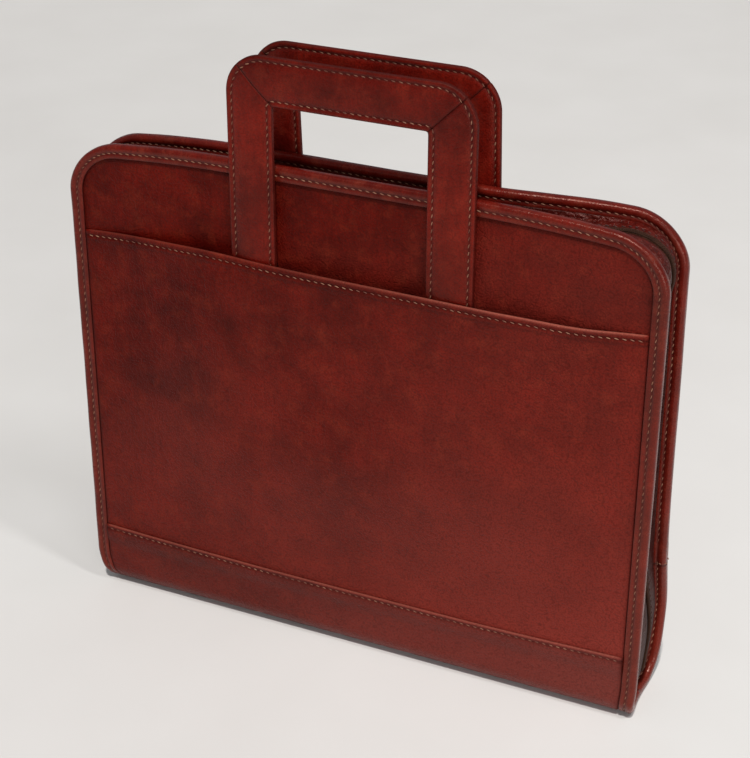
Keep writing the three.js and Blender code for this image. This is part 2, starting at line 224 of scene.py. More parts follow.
# Joins the ends of a bent tube that meet, and fills those that stay open.
def closeUp(bm):
    bmesh.ops.remove_doubles(bm, verts=bm.verts[:], dist=0.000002)
    rims = [edge for edge in bm.edges if edge.is_boundary]
    if rims:
        bmesh.ops.holes_fill(bm, edges=rims)
    turnOutwards(bm)


def addItem(name, data):
    item = bpy.data.objects.new(name, data)
    scene.collection.objects.link(item)
    return item


def makePiece(bm, name, material, replaced=(), body="case"):
    mesh = bpy.data.meshes.new(name)
    bm.to_mesh(mesh)
    bm.free()
    mesh.shade_smooth()
    mesh.materials.append(material)
    piece = addItem(name, mesh)
    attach(piece, body)
    if replaced:
        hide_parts(*replaced)
    print("made", name, len(mesh.polygons), "faces")
    return piece


# Copies a small ball to many centres, stretched there along three axes.
def scatterBalls(bm, rings, centres, *axes):
    before = len(bm.verts)
    seed = bmesh.new()
    bmesh.ops.create_uvsphere(seed, u_segments=6, v_segments=rings, radius=1)
    points = np.array([vert.co for vert in seed.verts])
    mesh = bpy.data.meshes.new("seed")
    seed.to_mesh(mesh)
    seed.free()
    for _ in centres:
        bm.from_mesh(mesh)
    bpy.data.meshes.remove(mesh)
    moved = (np.einsum("aki,na->kni", np.array(axes), points) + centres[:, None]) * mm
    for vert, point in zip(list(bm.verts)[before:], moved.reshape(-1, 3)):
        vert.co = point


thread = {"pitch": 4.4, "length": 2.5, "width": 0.66, "rise": 0.52, "slant": 0.34, "pucker": 0.28}


# One stitch between each pair of holes, a thick waist of thread that dives in at its ends.
# The row keeps one distance across the leather and one height over it.
def sewRow(bm, shape, holes, across, height=0.0, lift=0.25):
    starts, ends = (np.stack(np.broadcast_arrays(ways, across, height), 1) for ways in holes)
    middles = (starts + ends) / 2
    centres = shape(middles[:, 0], middles[:, 1], middles[:, 2] + lift)
    ups = unit(shape(middles[:, 0], middles[:, 1], middles[:, 2] + 1) - shape(*middles.T))
    alongs = shape(*ends.T) - shape(*starts.T)
    alongs += np.cross(alongs, ups) * thread["slant"] / thread["length"] * 2
    acrosses = unit(np.cross(alongs, ups)) * thread["width"] / 2
    scatterBalls(bm, 6, centres, acrosses, ups * thread["rise"] / 2, alongs / 2)


def rowOfStitches(low, high):
    pitch = thread["pitch"]
    count = int((high - low) / pitch)
    margin = (high - low - count * pitch) / 2
    holes = low + margin + np.arange(count) * pitch
    return holes + (pitch - thread["length"]) / 2, holes + (pitch + thread["length"]) / 2


# The depth of a sewn groove along its stitches, as a share of its deepest.
def pucker(way):
    return 1 - thread["pucker"] * (1 - np.cos(way * 2 * math.pi / thread["pitch"]))


# Materials. The shared effects come first, each a group of nodes.
def newGroup(name, inputs, outputs):
    group = bpy.data.node_groups.new(name, "ShaderNodeTree")
    for way, sockets in (("INPUT", inputs), ("OUTPUT", outputs)):
        for label, kind in sockets.items():
            group.interface.new_socket(label, in_out=way, socket_type="NodeSocket" + kind)
    return group, group.nodes.new("NodeGroupInput"), group.nodes.new("NodeGroupOutput")


# Sets inputs of a node, each to a number, a colour or another node's output.
def feed(tree, node, values):
    for key, value in values.items():
        if isinstance(value, (int, float, tuple)):
            node.inputs[key].default_value = value
        else:
            tree.links.new(value, node.inputs[key])
    return node


def addNode(tree, kind, values, **details):
    node = tree.nodes.new("ShaderNode" + kind)
    for key, value in details.items():
        setattr(node, key, value)
    return feed(tree, node, values)


def objectPlace(tree):
    return addNode(tree, "TexCoord", {}).outputs["Object"]


def addNoise(tree, place, scale, detail, roughness=0.5, output="Fac"):
    values = {"Vector": place, "Scale": scale, "Detail": detail, "Roughness": roughness}
    return addNode(tree, "TexNoise", values).outputs[output]


def addBump(tree, height, strength, distance):
    values = {"Height": height, "Strength": strength, "Distance": distance}
    return addNode(tree, "Bump", values).outputs["Normal"]


def calculate(tree, operation, *values):
    return addNode(tree, "Math", dict(enumerate(values)), operation=operation).outputs[0]


# Multiplies two values, and adds a third where it is given.
def multiply(tree, *values):
    return calculate(tree, "MULTIPLY_ADD" if len(values) > 2 else "MULTIPLY", *values)


def mix(tree, share, first, second):
    values = {0: share, 6: first, 7: second}
    return addNode(tree, "Mix", values, data_type="RGBA").outputs[2]


def stretch(tree, value, low, high, toLow=0.0, toHigh=1.0):
    values = {"Value": value, "From Min": low, "From Max": high, "To Min": toLow, "To Max": toHigh}
    return addNode(tree, "MapRange", values).outputs["Result"]


# Pebbled grain of tanned leather with pores and a few fine creases. Noise is given as its
# scale, detail and roughness.
grain = {
    "warp": (300, 2), "warpReach": 0.0012, "pebbleRise": -0.55, "pebbleSmooth": 0.6,
    "fine": (2600, 2), "fineRise": 0.3, "broad": (240, 3), "broadRise": 0.5,
    "foldScale": 170, "foldWidth": 0.08, "pores": (0.35, 0.8),
}


def buildGrainGroup():
    group, given, made = newGroup(
        "leatherGrain",
        {"Vector": "Vector", "Size": "Float", "Creases": "Float"},
        {"Height": "Float", "Pores": "Float"},
    )
    place = given.outputs["Vector"]
    warp = addNoise(group, place, *grain["warp"], output="Color")
    values = {0: warp, 1: (grain["warpReach"],) * 3, 2: place}
    moved = addNode(group, "VectorMath", values, operation="MULTIPLY_ADD").outputs[0]
    values = {"Vector": moved, "Scale": given.outputs["Size"], "Smoothness": grain["pebbleSmooth"]}
    cells = addNode(group, "TexVoronoi", values, feature="SMOOTH_F1").outputs["Distance"]
    values = {"Vector": moved, "Scale": grain["foldScale"]}
    folds = addNode(group, "TexVoronoi", values, feature="DISTANCE_TO_EDGE").outputs["Distance"]
    height = multiply(group, cells, grain["pebbleRise"])
    fine = addNoise(group, place, *grain["fine"])
    height = multiply(group, fine, grain["fineRise"], height)
    broad = addNoise(group, place, *grain["broad"])
    height = multiply(group, broad, grain["broadRise"], height)
    valley = stretch(group, folds, 0, grain["foldWidth"], 1, 0)
    sunk = multiply(group, valley, given.outputs["Creases"])
    pores = stretch(group, cells, *grain["pores"])
    feed(group, made, {"Height": calculate(group, "SUBTRACT", height, sunk), "Pores": pores})
    return group


# Uneven dye: deep and warm patches, upright streaks, a few worn and dark blotches, and a
# roughness that follows them. Each look gives the scale of its patches.
dye = {
    "patch": (3, 0.55), "patchShare": 0.45, "patchRange": (0.38, 0.6),
    "mottle": (34, 5, 0.65), "mottleShare": 0.55,
    "streak": (420, 3), "squash": (1, 1, 0.14), "streakRange": (0.45, 0.75), "streakShare": 0.45,
    "worn": (95, 4, 0.6), "wornRange": (0.5, 0.78), "wornShare": 0.5,
    "speckle": (620, 3), "speckleRange": (0.4, 0.7), "speckleShare": 0.3,
    "rough": (0.3, 0.75, -0.06, 0.1),
}


def buildDyeGroup():
    group, given, made = newGroup(
        "unevenDye",
        {"Vector": "Vector", "Deep": "Color", "Warm": "Color", "Worn": "Color", "Patch": "Float"},
        {"Color": "Color", "Roughness": "Float"},
    )
    place, deep = given.outputs["Vector"], given.outputs["Deep"]

    def cover(colour, noise, kind, above):
        share = stretch(group, noise, *dye[kind + "Range"])
        return mix(group, multiply(group, share, dye[kind + "Share"]), colour, above)

    large = addNoise(group, place, given.outputs["Patch"], *dye["patch"])
    patches = multiply(group, large, dye["patchShare"])
    mottle = addNoise(group, place, *dye["mottle"])
    patches = multiply(group, mottle, dye["mottleShare"], patches)
    colour = mix(group, stretch(group, patches, *dye["patchRange"]), deep, given.outputs["Warm"])
    upright = addNode(group, "Mapping", {"Vector": place, "Scale": dye["squash"]})
    colour = cover(colour, addNoise(group, upright.outputs["Vector"], *dye["streak"]), "streak", deep)
    worn = addNoise(group, place, *dye["worn"])
    colour = cover(colour, worn, "worn", given.outputs["Worn"])
    colour = cover(colour, addNoise(group, place, *dye["speckle"]), "speckle", deep)
    feed(group, made, {"Color": colour, "Roughness": stretch(group, worn, *dye["rough"])})
    return group


grainGroup = buildGrainGroup()
dyeGroup = buildDyeGroup()


def newMaterial(name):
    material = bpy.data.materials.new(name)
    material.use_nodes = True
    return material, material.node_tree, material.node_tree.nodes["Principled BSDF"]


# besides its dye, each look holds a colour for painted highlights along edges
leather = {
    "cover": {
        "deep": (0.038, 0.001, 0.0006, 1), "warm": (0.125, 0.0055, 0.0025, 1),
        "worn": (0.19, 0.022, 0.009, 1), "paintedLit": (0.225, 0.031, 0.022, 1), "paintedLight": 1,
        "paintedHighlight": (0.42, 0.13, 0.09, 1), "tint": (1, 0.5, 0.4, 1),
        "patch": 12, "grain": 950, "creases": 0.25, "bump": 0.65, "roughness": 0.37, "gloss": 0.13,
    },
    "binding": {
        "deep": (0.055, 0.0018, 0.001, 1), "warm": (0.145, 0.008, 0.004, 1), "worn": (0.21, 0.034, 0.016, 1),
        "paintedLit": (0.17, 0.024, 0.014, 1), "paintedLight": 0.5, "paintedHighlight": (0.32, 0.08, 0.05, 1),
        "patch": 20, "grain": 1300, "creases": 0.1, "bump": 0.3, "roughness": 0.24, "gloss": 0.36,
        "tint": (1, 0.6, 0.5, 1),
    },
    "handle": {
        "deep": (0.058, 0.002, 0.001, 1), "warm": (0.165, 0.0075, 0.0035, 1), "worn": (0.2, 0.02, 0.009, 1),
        "paintedLit": (0.19, 0.028, 0.014, 1), "paintedLight": 0.3, "paintedHighlight": (0.3, 0.07, 0.04, 1),
        "patch": 18, "grain": 1100, "creases": 0.16, "bump": 0.45, "roughness": 0.3, "gloss": 0.26,
        "tint": (1, 0.55, 0.45, 1),
    },
    "gusset": {
        "deep": (0.03, 0.0015, 0.001, 1), "warm": (0.1, 0.006, 0.0035, 1), "worn": (0.18, 0.025, 0.014, 1),
        "paintedLit": (0.1, 0.016, 0.01, 1), "paintedLight": 0.2, "paintedHighlight": (0.2, 0.04, 0.025, 1),
        "patch": 40, "grain": 620, "creases": 0.5, "bump": 0.9, "roughness": 0.2, "gloss": 0.3,
        "tint": (1, 0.65, 0.58, 1),
    },
}
# painted light: the leather is painted lighter and paler towards the base and the right, in uneven patches
paintedLight = {"right": 1.5, "down": -2.4, "from": 0.68, "noise": (9, 4), "patches": 0.7, "full": 1.1}
# the finish sets how strong and how dark the painted shade in grooves and folds is
finish = {"pores": 0.35, "grooves": 0.8, "grooveDuller": 0.35, "grooveShade": 0.4, "bumpRise": 0.0007}


def leatherMaterial(name, look):
    material, tree, shader = newMaterial(name)
    place = objectPlace(tree)
    values = {name.capitalize(): look[name] for name in ("deep", "warm", "worn", "patch")}
    dyed = addNode(tree, "Group", {"Vector": place, **values}, node_tree=dyeGroup)
    values = {"Vector": place, "Size": look["grain"], "Creases": look["creases"]}
    grained = addNode(tree, "Group", values, node_tree=grainGroup)
    # the attribute is painted shade where it is above zero, in grooves, folds, seams and recesses, and a
    # painted highlight where it is below zero, along some edges
    paintedShadeAndHighlight = addNode(tree, "Attribute", {}, attribute_name="paintedShadeAndHighlight").outputs["Fac"]
    dark = tuple(finish["grooveShade"] * value for value in look["deep"][:3]) + (1,)
    # painted light: lighter and paler towards the right and the base, in uneven patches
    parts = addNode(tree, "SeparateXYZ", {"Vector": place})
    paintedLit = multiply(tree, parts.outputs["X"], paintedLight["right"], paintedLight["from"])
    paintedLit = multiply(tree, parts.outputs["Z"], paintedLight["down"], paintedLit)
    paintedLit = calculate(tree, "SUBTRACT", paintedLit, paintedLight["patches"] / 2)
    uneven = addNoise(tree, place, *paintedLight["noise"])
    paintedLit = multiply(tree, uneven, paintedLight["patches"], paintedLit)
    paintedLit = multiply(tree, stretch(tree, paintedLit, 0, paintedLight["full"]), look["paintedLight"])
    colour = mix(tree, paintedLit, dyed.outputs["Color"], look["paintedLit"])
    pores = multiply(tree, grained.outputs["Pores"], finish["pores"])
    colour = mix(tree, pores, colour, dark)
    # painted shade where the attribute is above zero, and a painted highlight in the base colour where it is
    # below zero
    colour = mix(tree, multiply(tree, paintedShadeAndHighlight, finish["grooves"]), colour, dark)
    rough = calculate(tree, "ADD", dyed.outputs["Roughness"], look["roughness"])
    feed(tree, shader, {
        "Base Color": mix(tree, multiply(tree, paintedShadeAndHighlight, -1), colour, look["paintedHighlight"]),
        "Roughness": multiply(tree, paintedShadeAndHighlight, finish["grooveDuller"], rough),
        "Normal": addBump(tree, grained.outputs["Height"], look["bump"], finish["bumpRise"]),
        "Specular IOR Level": look["gloss"],
        "Specular Tint": look["tint"],
    })
    return material


coverLeather = leatherMaterial("coverLeather", leather["cover"])
# the base strip's painted light is a darker, greyer colour
stripLeather = leatherMaterial("stripLeather", {**leather["cover"], "paintedLit": (0.165, 0.031, 0.024, 1)})
bindingLeather = leatherMaterial("bindingLeather", leather["binding"])
handleLeather = leatherMaterial("handleLeather", leather["handle"])
gussetLeather = leatherMaterial("gussetLeather", leather["gusset"])


# Waxed sewing thread with its twist.
def threadMaterial(name, dark, light):
    material, tree, shader = newMaterial(name)
    place = objectPlace(tree)
    tone = stretch(tree, addNoise(tree, place, 70, 5), 0.36, 0.66)
    twist = addBump(tree, addNoise(tree, place, 3500, 1), 0.5, 0.0002)
    feed(tree, shader, {"Base Color": mix(tree, tone, dark, light), "Normal": twist, "Roughness": 0.6})
    return material


# Brown zip tape in a fine slanting weave, laid out on the tape's own map.
tapeLook = {
    "hollow": (0.012, 0.0045, 0.003, 1), "crown": (0.085, 0.034, 0.02, 1), "worn": (0.1, 0.042, 0.026, 1),
    "slant": math.radians(38), "wale": (190, 0.6), "weft": (260, 0.4), "wear": (60, 4),
    "bump": (0.8, 0.0003),
}


def tapeMaterial():
    material, tree, shader = newMaterial("wovenTape")
    flat = addNode(tree, "UVMap", {}, uv_map="Leather").outputs["UV"]
    turned = addNode(tree, "Mapping", {"Vector": flat, "Rotation": (0, 0, tapeLook["slant"])})

    def addWave(place, scale, distortion, direction):
        values = {"Vector": place, "Scale": scale, "Distortion": distortion, "Detail": 1}
        return addNode(tree, "TexWave", values, bands_direction=direction).outputs["Fac"]

    wale = addWave(turned.outputs["Vector"], *tapeLook["wale"], "X")
    woven = multiply(tree, wale, addWave(flat, *tapeLook["weft"], "Y"))
    shade = mix(tree, stretch(tree, woven, 0, 0.7), tapeLook["hollow"], tapeLook["crown"])
    worn = stretch(tree, addNoise(tree, flat, *tapeLook["wear"]), 0.45, 0.75)
    feed(tree, shader, {
        "Base Color": mix(tree, worn, shade, tapeLook["worn"]),
        "Normal": addBump(tree, woven, *tapeLook["bump"]),
        "Roughness": 0.85,
        "Specular IOR Level": 0,
    })
    return material


def teethMaterial(dark, light):
    material, tree, shader = newMaterial("zipTeeth")
    tone = addNoise(tree, objectPlace(tree), 220, 2)
    rough = stretch(tree, tone, 0.3, 0.7, 0.35, 0.5)
    colour = mix(tree, tone, dark, light)
    feed(tree, shader, {"Base Color": colour, "Roughness": rough, "Specular IOR Level": 0.08})
    return material


def metalMaterial(bright, tarnished):
    material, tree, shader = newMaterial("antiqueMetal")
    place = objectPlace(tree)
    tarnish = stretch(tree, addNoise(tree, place, 380, 5, 0.7), 0.35, 0.7)
    feed(tree, shader, {
        "Base Color": mix(tree, tarnish, bright, tarnished),
        "Roughness": stretch(tree, tarnish, 0, 1, 0.24, 0.5),
        "Normal": addBump(tree, addNoise(tree, place, 1800, 2), 0.2, 0.0001),
        "Metallic": 1,
    })
    return material


sewingThread = threadMaterial("sewingThread", (0.12, 0.026, 0.012, 1), (0.28, 0.125, 0.07, 1))
darkThread = threadMaterial("darkThread", (0.02, 0.004, 0.003, 1), (0.07, 0.02, 0.014, 1))
wovenTape = tapeMaterial()
zipTeeth = teethMaterial((0.02, 0.008, 0.005, 1), (0.06, 0.025, 0.015, 1))
antiqueMetal = metalMaterial((0.42, 0.33, 0.22, 1), (0.14, 0.1, 0.065, 1))
print("materials ready")


# The cover, in one sheet round the base, with painted shade in the groove beside the binding.
coverSheet = {"column": 3.0, "fineRow": 2.6, "coarseRow": 9.0, "fineFrom": 225, "groove": (1, 1.6)}


def makeCover():
    inset = case["ground"]
    fineFrom = wayTo(coverSheet["fineFrom"])
    fine = steps(fineFrom, fullRun - inset, coverSheet["fineRow"])
    side = np.concatenate([steps(0, fineFrom, coverSheet["coarseRow"])[:-1], fine])
    width = half - inset
    rows = np.concatenate([-side[:0:-1], side])
    bm = cutSheet(steps(-width, width, coverSheet["column"]), rows, case["cover"])
    addMap(bm)

    def shape(x, s, off):
        radius = case["corner"] - inset
        sunk = np.clip((np.abs(s) - cornerWay) / radius, 0, 1)
        narrow = 1 - radius * (1 - np.sqrt(1 - sunk ** 2)) / width
        return onCover(x * narrow, s, off - case["cover"])

    # painted shade in the groove beside the binding
    def paintedShadeAndHighlight(x, s, off):
        inward = np.minimum(half - np.abs(x), fullRun - np.abs(s)) - case["bindingWidth"]
        return fade(inward, *coverSheet["groove"])

    bend(bm, shape, paintedShadeAndHighlight)
    turnOutwards(bm)
    makePiece(bm, "cover", coverLeather, ["cover_wrap"])


# The handles: flat padded straps with mitred corners, sewn near both edges on both faces.
handle = {
    "width": 150, "strap": 28.3, "thickness": 4.5, "corner": 23, "innerCorner": 2.0, "rise": 65,
    "drop": 171, "stand": 2.2, "gripSteps": 150, "legSteps": 165, "seam": 0.05, "lap": 0.04,
    "seamDrop": 0.5, "seamRun": 1.1, "stitchIn": 3.2, "stitchUp": 3.26, "stitchEnd": 4, "stitchLift": 0.12,
    "groove": (0.28, 0.6), "faceRun": 1.2, "padFrom": 4, "padRun": 5,
    "grooveShade": (0.6, 0.95), "seamShade": (0.95, 0.45), "layerShade": 0.75, "layers": 0.7, "layerRun": 0.6,
}
# half of the strap's face, as (in from the edge, up from the underside)
strapFace = [
    (.3, 2.25), (.06, 2.6), (0, 3.05), (.22, 3.5), (.75, 3.82), (1.5, 3.92), (2.2, 3.82), (2.7, 3.58),
    (3.2, 3.42), (3.7, 3.56), (4.2, 3.78), (5.2, 4.04), (7.2, 4.32), (10.2, 4.48), (14.15, 4.5),
]


def strapSection():
    wide = handle["strap"]
    top = strapFace + [(wide - inward, up) for inward, up in reversed(strapFace[:-1])]
    under = [(inward, handle["thickness"] - up) for inward, up in reversed(top[1:-1])]
    return np.array(top + under)


# The strap's corner at a distance in from the outer edge: its radius, and the straight before it.
def strapCorner(inward):
    radius = handle["corner"] + (handle["innerCorner"] - handle["corner"]) * inward / handle["strap"]
    return radius, handle["width"] / 2 - inward - radius


# A place on the strap, by its way from the middle of the grip and how far in it lies.
def strapAt(way, inward):
    radius, straight = strapCorner(inward)
    turn = np.clip((way - straight) / radius, 0, math.pi / 2)
    down = np.maximum(way - straight - radius * math.pi / 2, 0)
    across = np.minimum(way, straight) + radius * np.sin(turn)
    return across, -inward - radius * (1 - np.cos(turn)) - down


def mitreWay(inward):
    radius, straight = strapCorner(inward)
    return straight + radius * math.pi / 4


def legEnd(inward):
    radius, straight = strapCorner(inward)
    return straight + radius * math.pi / 2 + handle["drop"] - inward - radius


# From a handle's own plane to the case: it stands in the plane of its cover.
def handlePlace(side, place):
    out = np.array([0, side * math.cos(lean), math.sin(lean)])
    up = np.array([0, -side * math.sin(lean), math.cos(lean)])
    right = np.cross(up, out)
    faceOut = endView(np.array([fullRun + handle["rise"] / math.cos(lean)]))[0][0]
    origin = np.array([place, side * faceOut, case["height"] + handle["rise"]]) + out * handle["stand"]

    def toCase(u, v, w):
        return origin + u[..., None] * right + v[..., None] * up + w[..., None] * out

    return toCase


# A leg lies to one side, left or right, and the grip to neither.
def makeStrap(toCase, side, name, body, node):
    section = strapSection()
    if side:
        along = np.concatenate([[0, .003, .006, .01], np.linspace(0.016, 1, handle["legSteps"])])
    else:
        along = np.linspace(-1, 1, handle["gripSteps"])
    bm = cutTube(along, len(section))

    def onStrap(share, around):
        inward, w = onSection(section, around)[1]
        mitre = mitreWay(inward)
        if side:
            way = mitre + handle["seam"] + share * (legEnd(inward) - mitre - handle["seam"])
        else:
            way = np.abs(share) * (mitre + handle["lap"])
        return inward, w, way, mitre, np.minimum(inward, handle["strap"] - inward)

    def shape(share, around, extra):
        inward, w, way, mitre, fromEdge = onStrap(share, around)
        u, v = strapAt(way, inward)
        u = u * (side or np.sign(share))
        middle = handle["thickness"] / 2
        fromMitre = np.abs(way - mitre)
        sewn = ridge(fromEdge - handle["stitchIn"], *handle["groove"])
        face = np.clip((w - middle) / handle["faceRun"], -1, 1)
        w = w - face * handle["seamDrop"] * (1 - smooth(fromMitre / handle["seamRun"]))
        w = w - face * sewn * pucker(way)
        uneven = np.sin(way / 19 + u / 31) * 0.06 + np.sin(way / 7.3) * 0.02
        padding = smooth((fromEdge - handle["padFrom"]) / handle["padRun"]) * uneven
        return toCase(u, v, w + face * padding)

    # painted shade in the stitch grooves and at the mitre seams, and cut edges darker for dark edge paint and
    # painted shade
    def paintedShadeAndHighlight(share, around, extra):
        inward, w, way, mitre, fromEdge = onStrap(share, around)
        groove = ridge(fromEdge - handle["stitchIn"], *handle["grooveShade"])
        seam = fade(np.abs(way - mitre), *handle["seamShade"])
        layers = handle["layerShade"] * smooth((handle["layers"] - fromEdge) / handle["layerRun"])
        return np.clip(groove + seam + layers, 0, 1)

    bend(bm, shape, paintedShadeAndHighlight)
    closeUp(bm)
    makePiece(bm, name, handleLeather, [node], body)


def makeHandle(side, place, prefix, body):
    toCase = handlePlace(side, place)
    makeStrap(toCase, 0, prefix + "Grip", body, body + "_grip")
    makeStrap(toCase, side, prefix + "LegLeft", body, body + "_leg_left")
    makeStrap(toCase, -side, prefix + "LegRight", body, body + "_leg_right")
    stitches = bmesh.new()
    for inward in (handle["stitchIn"], handle["strap"] - handle["stitchIn"]):
        reach = legEnd(inward) - handle["stitchEnd"]
        for face, level in ((1, handle["stitchUp"]), (-1, handle["thickness"] - handle["stitchUp"])):
            def shape(way, deep, lift):
                u, v = strapAt(np.abs(way), deep)
                return toCase(u * np.sign(way), v, level + face * lift)

            sewRow(stitches, shape, rowOfStitches(-reach, reach), inward, 0.0, handle["stitchLift"])
    makePiece(stitches, prefix + "Stitches", sewingThread, body=body)


# The pockets, each with a turned upper edge and a row of stitches under it.
pocket = {
    "height": 254, "edgeRise": 5, "lowEdge": 36, "bulgeFrom": 52, "bulgeMargin": 3, "clearance": 0.9,
    "thickness": 1.2, "column": 1.1, "row": 4.2, "stitchDown": 3.6, "fold": 6.5, "foldRise": 0.35,
    "groove": (0.6, 1.1), "foldShade": (0.35, 0.8), "endShade": (0.8, 1.1),
    "paintedHighlight": (0.55, 0.6), "highlightLeast": 0.25, "highlightFrom": -60, "highlightRun": 200,
}
# how much of its rise the upper edge takes from left to right, and the rows of the sheet near it
pocketEdgeRows = [
    (0, .35), (.15, .8), (.25, .95), (.35, .65), (.5, .45), (.65, .3), (.8, .2), (.9, 0), (1, .65),
]
pocketLip = np.array([
    0, .12, .3, .6, .95, 1.4, 2.0, 2.6, 3.0, 3.3, 3.6, 3.9, 4.2, 4.7, 5.4, 6.2, 7.0, 8.2, 10, 12.5, 15.5,
])
lapWay = wayTo(pocket["lowEdge"]) - case["gap"]
bulgeStart = wayTo(pocket["bulgeFrom"])
bulgeFull = wayTo(case["height"] - handle["drop"] - pocket["bulgeMargin"])


# The pocket stands off where a handle slides behind it.
def bulgeAt(x, way, place):
    plateau = handle["width"] / 2 + pocket["bulgeMargin"]
    away = (np.abs(x - place) - plateau) / (panelHalf - plateau)
    rise = smooth((way - bulgeStart) / (bulgeFull - bulgeStart))
    return (handle["stand"] + handle["thickness"] + pocket["clearance"]) * (1 - smooth(away)) * rise


lip = {"radius": 0.9, "endRadius": 0.5, "bandLead": 1, "bandRun": 2.2, "groove": (0.55, 0.75), "stitchEnd": 2}


panelHoles = rowOfStitches(lip["stitchEnd"] - panelHalf, panelHalf - lip["stitchEnd"])


# The rows of a panel up to its upper edge, closer together near it.
def panelRows(low, top, step, near):
    return np.concatenate([steps(low, top - near[-1], step)[:-1], (top - near)[::-1]])


def roundedEdge(away, radius):
    inside = np.clip(radius - away, 0, radius)
    return np.sqrt(radius ** 2 - inside ** 2) - radius


# An outer face near its turned edge and its ends: rounded over, folded and sewn.
def turnedEdge(x, away, piece):
    band = piece["foldRise"] * (1 - smooth((away - piece["fold"] + lip["bandLead"]) / lip["bandRun"]))
    groove = ridge(away - piece["stitchDown"], *lip["groove"]) * pucker(x)
    ends = roundedEdge(panelHalf - np.abs(x), lip["endRadius"])
    return roundedEdge(away, lip["radius"]) + band - groove + ends


def makePocket(side, place, name, node):
    low = lapWay + case["gap"]
    top = wayTo(pocket["height"])
    thick = pocket["thickness"]
    rows = panelRows(low, top, pocket["row"], pocketLip)
    bm = cutSheet(steps(-panelHalf, panelHalf, pocket["column"]), rows, thick)
    addMap(bm)

    def shape(x, way, off):
        rise = readRows(pocketEdgeRows, 0.5 + x / panelHalf / 2)
        risen = way + pocket["edgeRise"] * rise * (way - low) / (top - low)
        outer = np.clip(off / thick, 0, 1) * turnedEdge(x, top - way, pocket)
        return onCover(x, side * risen, case["gap"] + off + outer + bulgeAt(x, way, place))

    # painted shade in the stitch groove, under the fold and at the ends, less a painted highlight along the
    # upper lip that is stronger towards the right
    def paintedShadeAndHighlight(x, way, off):
        away = top - way
        worn = smooth((x - pocket["highlightFrom"]) / pocket["highlightRun"])
        paintedHighlight = fade(away, *pocket["paintedHighlight"]) * (pocket["highlightLeast"] + (1 - pocket["highlightLeast"]) * worn)
        groove = ridge(away - pocket["stitchDown"], *pocket["groove"])
        fold = ridge(away - pocket["fold"], *pocket["foldShade"])
        return np.clip(groove + fold + fade(panelHalf - np.abs(x), *pocket["endShade"]) - paintedHighlight, -1, 1)

    # the thread lies on the grooved face, whose outward way is read from two close levels
    def threadShape(x, way, height):
        ground = shape(x, way, np.full_like(x, thick))
        lower = shape(x, way, np.full_like(x, thick - 0.2))
        return ground + (ground - lower) / 0.2 * (height - thick + 0.35)[:, None]

    stitches = bmesh.new()
    sewRow(stitches, threadShape, panelHoles, top - pocket["stitchDown"], thick - 0.1)
    bend(bm, shape, paintedShadeAndHighlight)
    turnOutwards(bm)
    makePiece(bm, name, coverLeather, [node])
    makePiece(stitches, name + "Stitches", sewingThread)


# The strip round the base, turned and sewn along both upper edges.
strip = {
    "height": 42, "middleRise": 1, "endRise": 4, "riseFrom": 12, "ramp": 4.5, "rampLead": 2,
    "thickness": 1.2, "column": 1.1, "row": 1.9, "stitchDown": 2.4, "fold": 5, "foldRise": 0.2,
    "stitchUp": 0.05, "stitchLift": 0.1, "groove": (0.6, 1.0), "endShade": (0.8, 1.1), "paintedHighlight": (0.3, 0.6),
}
stripLip = np.array([
    0, .12, .3, .6, 1.0, 1.5, 1.9, 2.15, 2.4, 2.65, 2.9, 3.4, 4.1, 4.8, 5.5, 6.4, 7.6, 9.2,
])


def makeStrip():
    top = wayTo(strip["height"])
    side = panelRows(0, top, strip["row"], stripLip)
    rows = np.concatenate([-side[:0:-1], side])
    bm = cutSheet(steps(-panelHalf, panelHalf, strip["column"]), rows, strip["thickness"])
    addMap(bm)

    def shape(x, s, off):
        way = np.abs(s)
        rise = strip["middleRise"] + (strip["endRise"] - strip["middleRise"]) * (x / panelHalf) ** 2
        risen = way + rise * smooth((way - lapWay + strip["riseFrom"]) / (top - lapWay + strip["riseFrom"]))
        ramp = strip["ramp"] + strip["rampLead"]
        over = smooth((way - lapWay + ramp) / ramp)
        outer = off / strip["thickness"] * turnedEdge(x, top - way, strip)
        return onCover(x, np.sign(s) * risen, case["gap"] + off + outer + case["ground"] * over)

    # painted shade in the stitch grooves and at the ends, less a painted highlight along the upper lips
    def paintedShadeAndHighlight(x, s, off):
        away = top - np.abs(s)
        groove = ridge(away - strip["stitchDown"], *strip["groove"])
        ends = fade(panelHalf - np.abs(x), *strip["endShade"])
        return np.clip(groove + ends - fade(away, *strip["paintedHighlight"]), -1, 1)

    stitches = bmesh.new()
    height = strip["thickness"] + strip["stitchUp"]
    for side in (-1, 1):
        sewRow(stitches, shape, panelHoles, side * (top - strip["stitchDown"]), height, strip["stitchLift"])
    bend(bm, shape, paintedShadeAndHighlight)
    turnOutwards(bm)
    makePiece(bm, "baseStrip", stripLeather, ["base_strip"])
    makePiece(stitches, "baseStripStitches", sewingThread)


